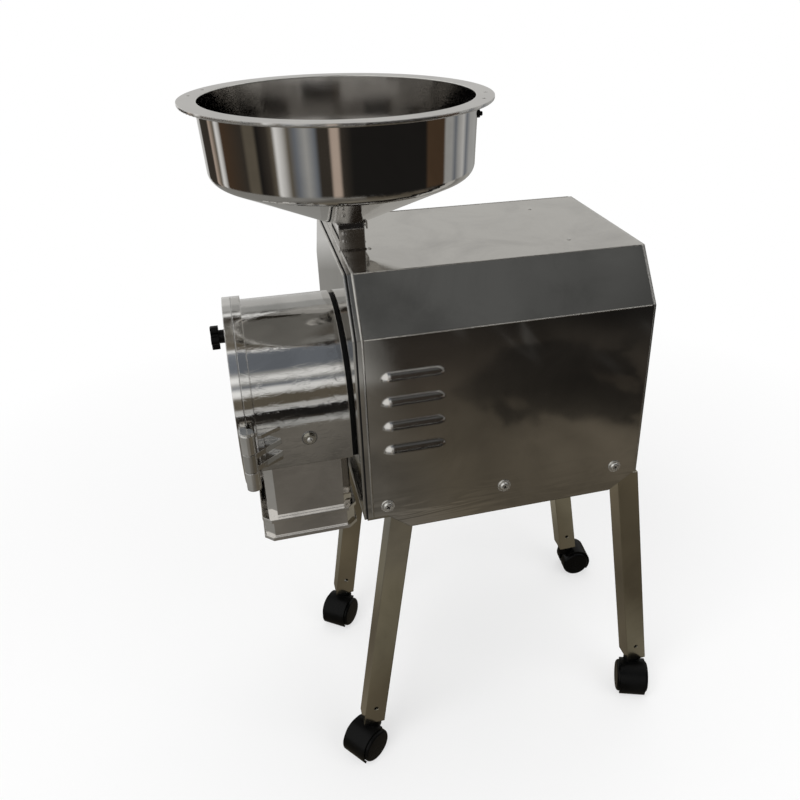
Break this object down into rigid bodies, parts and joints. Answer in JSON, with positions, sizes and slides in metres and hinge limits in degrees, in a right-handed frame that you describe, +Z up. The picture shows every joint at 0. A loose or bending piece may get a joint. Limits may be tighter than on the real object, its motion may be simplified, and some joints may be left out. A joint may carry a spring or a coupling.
{
  "type": "hammer mill",
  "caption": "Stainless steel hammer mill on casters: bowl hopper, hinged round chamber door with clamp knob, swinging hammers on a motor shaft and a bottom outlet.",
  "frame": {"origin": "on the floor, in the middle plane of the machine, under the housing", "axes": "+Z up, -Y towards the chamber door, +X towards the door's hinge"},
  "size_m": [0.3032, 0.5211, 0.764],
  "materials": {
    "polished_steel": "polished stainless sheet",
    "cast_steel": "polished stainless casting",
    "leg_steel": "brushed stainless tube and sheet",
    "zinc_fixings": "bright fixings",
    "hard_steel": "hardened wear parts, ground",
    "shaft_steel": "turned steel",
    "motor_paint": "dark enamel",
    "black_rubber": "black rubber",
    "black_plastic": "black moulded plastic",
    "wheel_plastic": "black nylon",
    "red_plastic": "red rocker",
    "white_plastic": "pale plastic can"
  },
  "bodies": {
    "housing": {"front_plate": "polished_steel", "housing_cover": "polished_steel", "rear_plate": "polished_steel", "base_tray": "leg_steel", "panel_screws": "zinc_fixings", "leg_front_right": "leg_steel", "leg_front_left": "leg_steel", "leg_rear_right": "leg_steel", "leg_rear_left": "leg_steel", "caster_stems": "zinc_fixings", "hopper_bowl": "polished_steel", "neck_collar": "polished_steel", "feed_chute": "polished_steel", "chamber_body": "cast_steel", "chamber_gasket": "black_rubber", "chamber_bolts": "zinc_fixings", "side_bolts": "zinc_fixings", "breaker_liner": "hard_steel", "screen": "hard_steel", "outlet_spout": "polished_steel", "hinge_pin": "zinc_fixings", "shaft_seal": "black_rubber", "motor_frame": "motor_paint", "motor_front_bell": "motor_paint", "motor_rear_bell": "motor_paint", "fan_cowl": "motor_paint", "motor_bolts": "zinc_fixings", "front_bearing": "shaft_steel", "rear_bearing": "shaft_steel", "capacitor": "white_plastic", "cable_gland": "black_plastic", "switch_body": "black_plastic"},
    "rotor": {"drive_shaft": "shaft_steel", "motor_rotor": "shaft_steel", "cooling_fan": "black_plastic", "rotor_head": "hard_steel", "hammer_pins": "hard_steel", "rotor_nut": "zinc_fixings"},
    "door": {"mill_door": "cast_steel", "door_liner": "hard_steel"},
    "knob": {"door_knob": "black_plastic", "clamp_screw": "zinc_fixings"},
    "gate": {"feed_gate": "polished_steel"},
    "rocker": {"switch_rocker": "red_plastic"},
    "swinging_hammer_1": {"hammer_1": "hard_steel"},
    "swinging_hammer_2": {"hammer_2": "hard_steel"},
    "swinging_hammer_3": {"hammer_3": "hard_steel"},
    "swinging_hammer_4": {"hammer_4": "hard_steel"},
    "caster_fr": {"caster_hood_fr": "black_plastic"},
    "caster_wheel_fr_1": {"wheel_fr_1": "wheel_plastic"},
    "caster_wheel_fr_2": {"wheel_fr_2": "wheel_plastic"},
    "caster_fl": {"caster_hood_fl": "black_plastic"},
    "caster_wheel_fl_1": {"wheel_fl_1": "wheel_plastic"},
    "caster_wheel_fl_2": {"wheel_fl_2": "wheel_plastic"},
    "caster_rr": {"caster_hood_rr": "black_plastic"},
    "caster_wheel_rr_1": {"wheel_rr_1": "wheel_plastic"},
    "caster_wheel_rr_2": {"wheel_rr_2": "wheel_plastic"},
    "caster_rl": {"caster_hood_rl": "black_plastic"},
    "caster_wheel_rl_1": {"wheel_rl_1": "wheel_plastic"},
    "caster_wheel_rl_2": {"wheel_rl_2": "wheel_plastic"}
  },
  "joints": [
    {"name": "rotor_spin", "type": "hinge", "parent": "housing", "child": "rotor", "pos_m": [0, 0, 0.463], "axis": [0, 1, 0], "continuous": true},
    {"name": "door_hinge", "type": "hinge", "parent": "housing", "child": "door", "pos_m": [0.114, -0.2245, 0.444], "axis": [0, 0, 1], "range_deg": [0, 110]},
    {"name": "knob_turn", "type": "hinge", "parent": "door", "child": "knob", "pos_m": [-0.109, -0.2335, 0.479], "axis": [0, 1, 0], "continuous": true},
    {"name": "gate_slide", "type": "slide", "parent": "housing", "child": "gate", "axis": [0, 1, 0], "range_m": [0, 0.02]},
    {"name": "rocker_tilt", "type": "hinge", "parent": "housing", "child": "rocker", "pos_m": [0.062, 0.186, 0.533], "axis": [1, 0, 0], "range_deg": [0, 16]},
    {"name": "hammer_1_swing", "type": "hinge", "parent": "rotor", "child": "swinging_hammer_1", "pos_m": [0.03302, -0.17, 0.49602], "axis": [0, 1, 0], "range_deg": [-273, 3]},
    {"name": "hammer_2_swing", "type": "hinge", "parent": "rotor", "child": "swinging_hammer_2", "pos_m": [-0.03302, -0.17, 0.49602], "axis": [0, 1, 0], "range_deg": [-3, 273]},
    {"name": "hammer_3_swing", "type": "hinge", "parent": "rotor", "child": "swinging_hammer_3", "pos_m": [-0.03302, -0.17, 0.42998], "axis": [0, 1, 0], "range_deg": [-93, 183]},
    {"name": "hammer_4_swing", "type": "hinge", "parent": "rotor", "child": "swinging_hammer_4", "pos_m": [0.03302, -0.17, 0.42998], "axis": [0, 1, 0], "range_deg": [-183, 93]},
    {"name": "caster_fr_swivel", "type": "hinge", "parent": "housing", "child": "caster_fr", "pos_m": [0.1145, -0.12518, 0.041], "axis": [0, 0, 1], "continuous": true},
    {"name": "wheel_fr_1_roll", "type": "hinge", "parent": "caster_fr", "child": "caster_wheel_fr_1", "pos_m": [0.12293, -0.13636, 0.02], "axis": [0.7986, 0.6018, 0], "continuous": true},
    {"name": "wheel_fr_2_roll", "type": "hinge", "parent": "caster_fr", "child": "caster_wheel_fr_2", "pos_m": [0.12293, -0.13636, 0.02], "axis": [0.7986, 0.6018, 0], "continuous": true},
    {"name": "caster_fl_swivel", "type": "hinge", "parent": "housing", "child": "caster_fl", "pos_m": [-0.1145, -0.12518, 0.041], "axis": [0, 0, 1], "continuous": true},
    {"name": "wheel_fl_1_roll", "type": "hinge", "parent": "caster_fl", "child": "caster_wheel_fl_1", "pos_m": [-0.10332, -0.13361, 0.02], "axis": [0.6018, 0.7986, 0], "continuous": true},
    {"name": "wheel_fl_2_roll", "type": "hinge", "parent": "caster_fl", "child": "caster_wheel_fl_2", "pos_m": [-0.10332, -0.13361, 0.02], "axis": [0.6018, 0.7986, 0], "continuous": true},
    {"name": "caster_rr_swivel", "type": "hinge", "parent": "housing", "child": "caster_rr", "pos_m": [0.1145, 0.22818, 0.041], "axis": [0, 0, 1], "continuous": true},
    {"name": "wheel_rr_1_roll", "type": "hinge", "parent": "caster_rr", "child": "caster_wheel_rr_1", "pos_m": [0.12757, 0.22316, 0.02], "axis": [0.3584, 0.9336, 0], "continuous": true},
    {"name": "wheel_rr_2_roll", "type": "hinge", "parent": "caster_rr", "child": "caster_wheel_rr_2", "pos_m": [0.12757, 0.22316, 0.02], "axis": [0.3584, 0.9336, 0], "continuous": true},
    {"name": "caster_rl_swivel", "type": "hinge", "parent": "housing", "child": "caster_rl", "pos_m": [-0.1145, 0.22818, 0.041], "axis": [0, 0, 1], "continuous": true},
    {"name": "wheel_rl_1_roll", "type": "hinge", "parent": "caster_rl", "child": "caster_wheel_rl_1", "pos_m": [-0.11328, 0.24213, 0.02], "axis": [-0.9962, 0.0872, 0], "continuous": true},
    {"name": "wheel_rl_2_roll", "type": "hinge", "parent": "caster_rl", "child": "caster_wheel_rl_2", "pos_m": [-0.11328, 0.24213, 0.02], "axis": [-0.9962, 0.0872, 0], "continuous": true}
  ]
}
